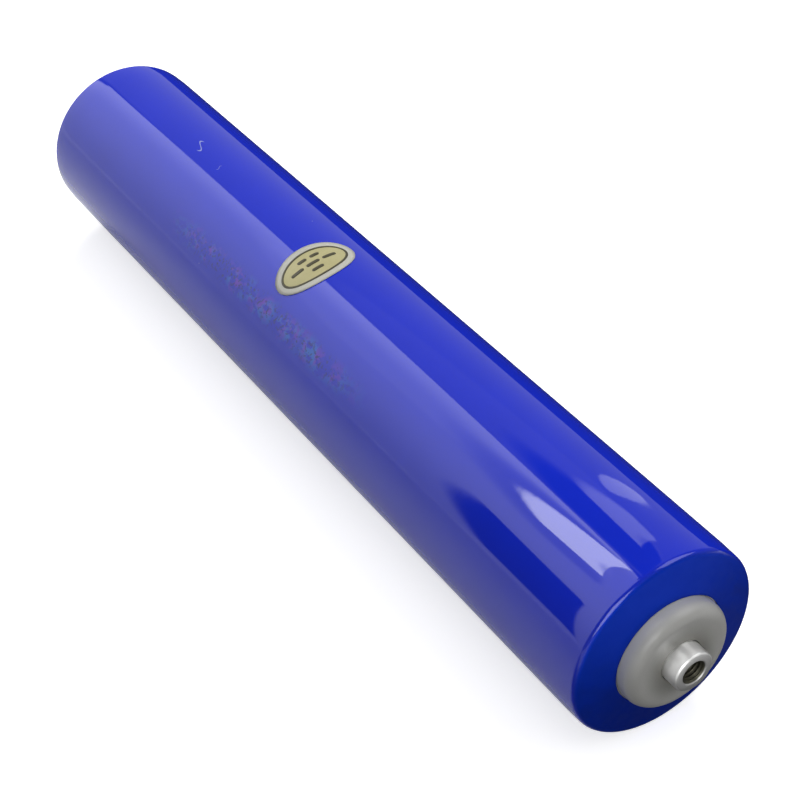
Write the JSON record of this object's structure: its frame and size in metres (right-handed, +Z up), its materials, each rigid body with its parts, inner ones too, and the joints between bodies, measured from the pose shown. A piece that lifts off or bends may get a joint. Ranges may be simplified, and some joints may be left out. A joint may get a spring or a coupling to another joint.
{
  "type": "cylindrical battery cell",
  "caption": "Large cylindrical lithium cell in a glossy blue shrink sleeve, with a grey insulator disc and a threaded metal terminal at each end.",
  "frame": {"origin": "middle of the cell, on its axis", "axes": "+Y along the cell from the positive terminal at -Y to the negative terminal at +Y; +Z up, through the side that carries the label; +X across"},
  "size_m": [0.05, 0.2846, 0.0502],
  "materials": {
    "sleeve_film": "gloss",
    "moulded_grey": "satin",
    "label_paper": "satin",
    "aluminium": "satin",
    "nickel_plate": "satin",
    "copper": "satin",
    "seal_rubber": "matte",
    "white_polymer": "matte",
    "cathode_coat": "matte",
    "anode_coat": "matte",
    "separator_film": "satin",
    "tape_film": "satin"
  },
  "bodies": {
    "root": {"sleeve": "sleeve_film", "label": "label_paper", "can": "aluminium", "positive_lid": "aluminium", "negative_lid": "aluminium", "positive_gasket": "white_polymer", "negative_gasket": "white_polymer", "positive_insulator": "moulded_grey", "negative_insulator": "moulded_grey", "positive_terminal": "aluminium", "negative_terminal": "nickel_plate", "positive_seal_ring": "seal_rubber", "negative_seal_ring": "seal_rubber", "positive_lead": "aluminium", "negative_lead": "copper", "positive_collector": "aluminium", "negative_collector": "copper", "positive_end_ring": "white_polymer", "negative_end_ring": "white_polymer", "fill_plug": "aluminium", "vent_disc": "aluminium", "cathode_sheet": "cathode_coat", "inner_separator": "separator_film", "anode_sheet": "anode_coat", "outer_separator": "separator_film", "core_tube": "white_polymer", "winding_wrap": "tape_film", "closing_tape": "tape_film"}
  },
  "joints": []
}
